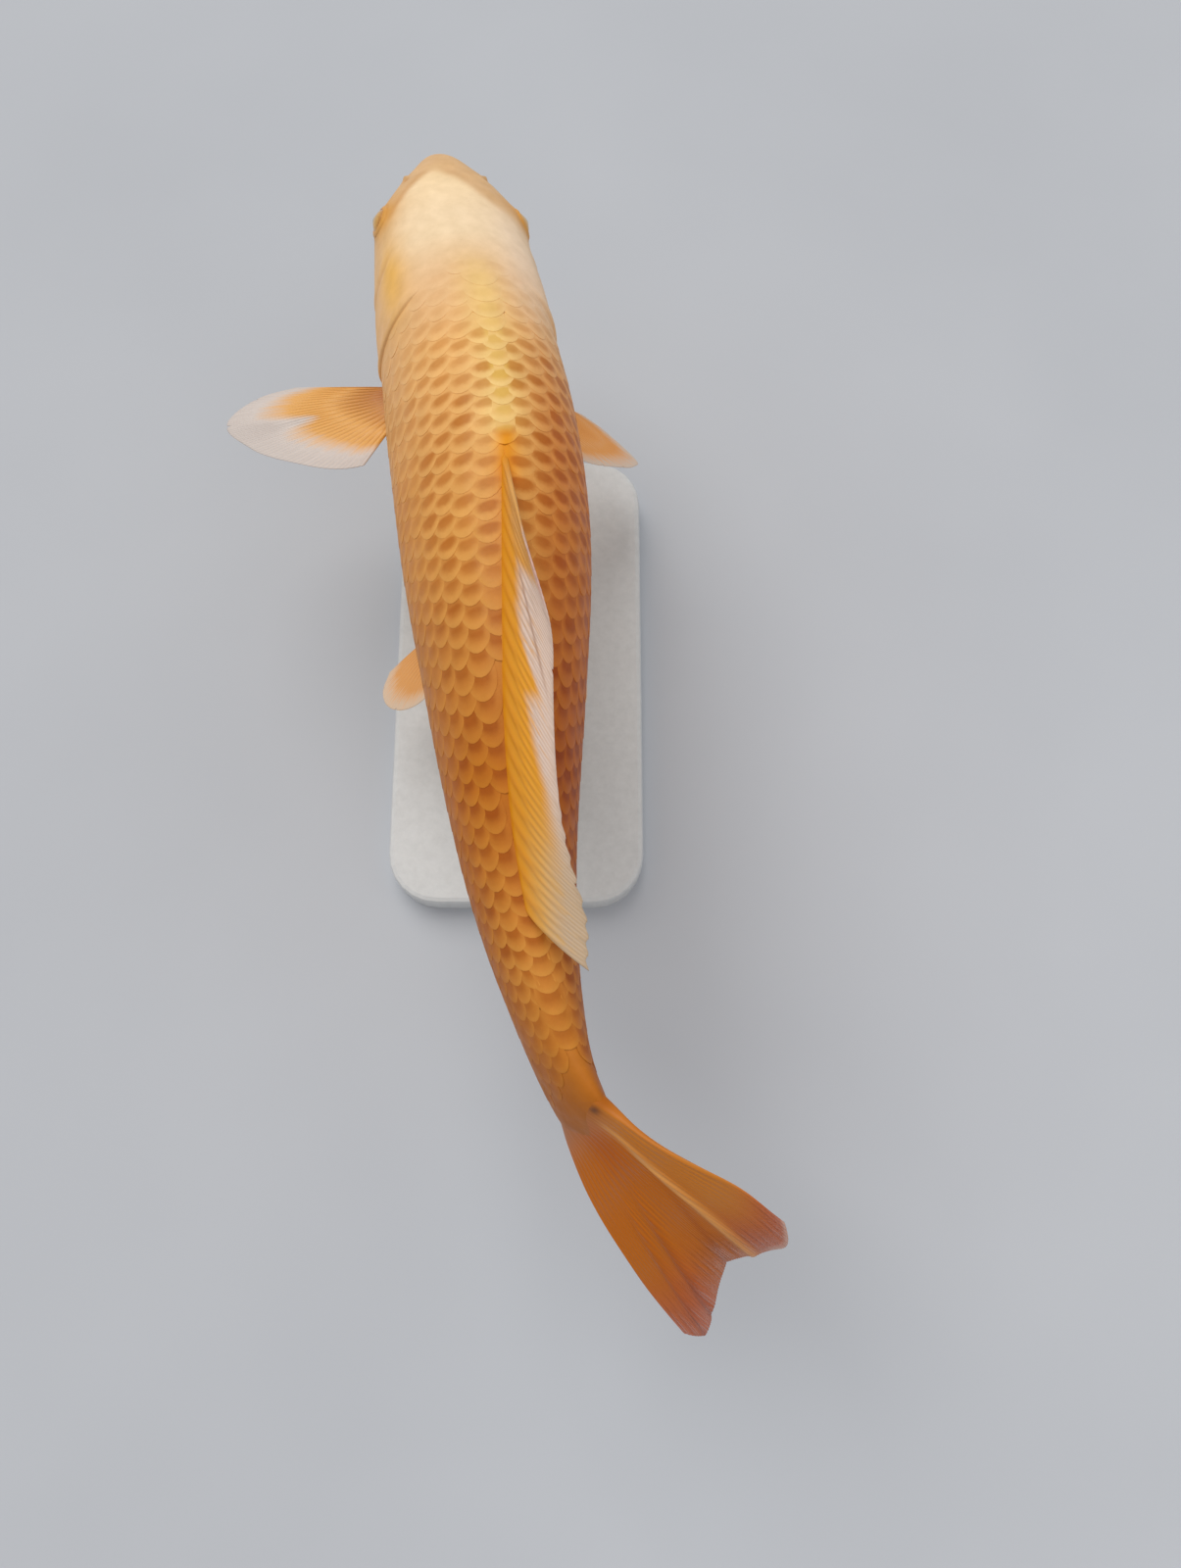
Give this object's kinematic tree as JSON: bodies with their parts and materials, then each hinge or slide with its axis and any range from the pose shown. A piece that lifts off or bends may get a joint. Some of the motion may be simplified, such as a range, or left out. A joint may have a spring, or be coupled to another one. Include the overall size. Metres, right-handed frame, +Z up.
{
  "type": "koi carp display model",
  "caption": "Life-size koi carp, orange and pale gold, body gently curved as in swimming, held over a flat base by slim rods.",
  "frame": {"origin": "middle of the underside of the stand's base, on the floor", "axes": "+Z up; the head points along +Y; the fish's right side faces +X"},
  "size_m": [0.1688, 0.3718, 0.1603],
  "materials": {
    "skin": "moist satin skin, golden orange with a net of paler scale edges",
    "head_skin": "smooth moist skin, pale cream with warm cheeks",
    "fin": "thin satin membrane over fine rays, orange with white edges",
    "eye_gold": "wet gloss, gold iris round a dark pupil",
    "steel": "fine brushed steel",
    "plinth": "pale warm-grey satin paint on wood"
  },
  "bodies": {
    "root": {"head": "head_skin", "gill_cover_left": "head_skin", "gill_cover_right": "head_skin", "upper_lip": "head_skin", "lower_lip": "head_skin", "barbel_front_left": "head_skin", "barbel_front_right": "head_skin", "barbel_corner_left": "head_skin", "barbel_corner_right": "head_skin", "eye_left": "eye_gold", "eye_right": "eye_gold", "trunk_front": "skin", "trunk_rear": "skin", "tail_stalk": "skin", "dorsal_fin": "fin", "tail_fin": "fin", "anal_fin": "fin", "pectoral_fin_left": "fin", "pectoral_fin_right": "fin", "pelvic_fin_left": "fin", "pelvic_fin_right": "fin", "stand_base": "plinth", "stand_rod_front": "steel", "stand_rod_rear": "steel", "stand_collar_front": "steel", "stand_collar_rear": "steel"}
  },
  "joints": []
}
